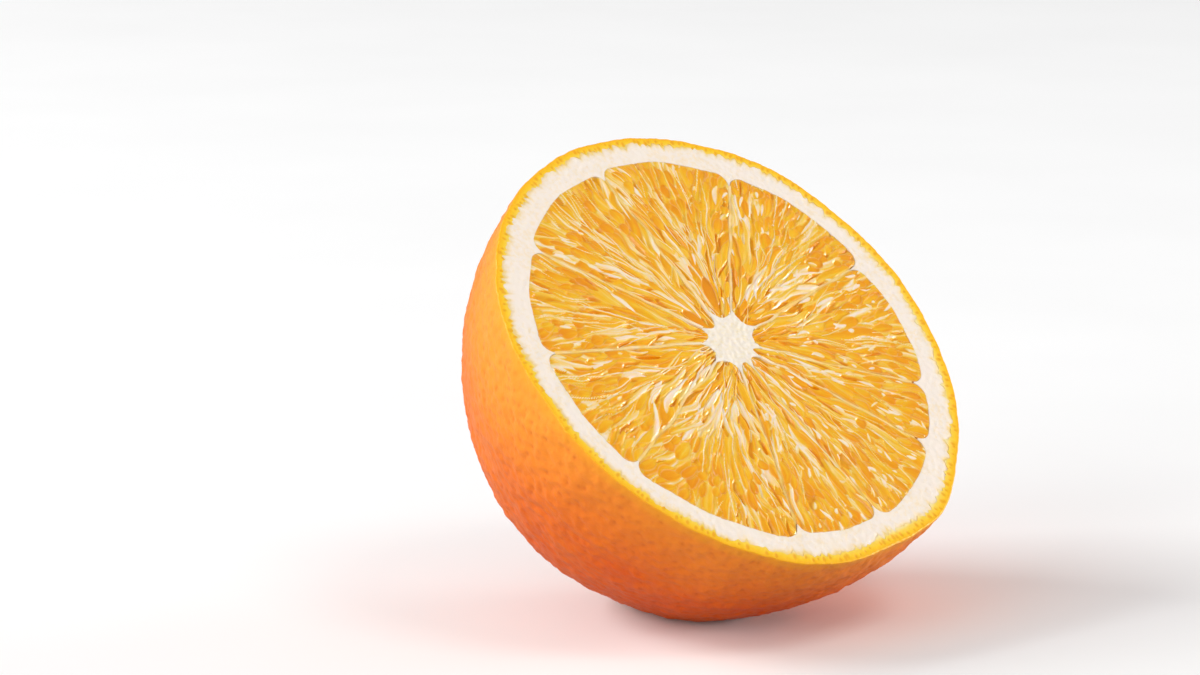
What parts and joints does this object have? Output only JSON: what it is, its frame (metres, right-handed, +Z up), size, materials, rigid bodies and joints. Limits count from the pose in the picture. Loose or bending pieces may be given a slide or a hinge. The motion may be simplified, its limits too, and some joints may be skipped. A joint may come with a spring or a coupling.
{
  "type": "halved orange",
  "caption": "Half of a fresh orange cut across the middle, resting on a flat spot of its peel with the juicy cut face leaning back.",
  "frame": {"origin": "middle of the small flat spot under the peel, on the surface that the half stands on", "axes": "+Z up. The cut face's normal lies in the YZ plane, 45 degrees up from -Y, so the cut leans back and looks to the front, -Y. +X is to the right of someone who looks at the cut face."},
  "size_m": [0.08, 0.0725, 0.0711],
  "materials": {
    "peel": "satin",
    "flesh": "gloss",
    "pith": "matte",
    "stem": "matte"
  },
  "bodies": {
    "root": {"peel": "peel", "core": "pith", "segment_01": "flesh", "segment_02": "flesh", "segment_03": "flesh", "segment_04": "flesh", "segment_05": "flesh", "segment_06": "flesh", "segment_07": "flesh", "segment_08": "flesh", "segment_09": "flesh", "segment_10": "flesh", "stem_button": "stem"}
  },
  "joints": []
}
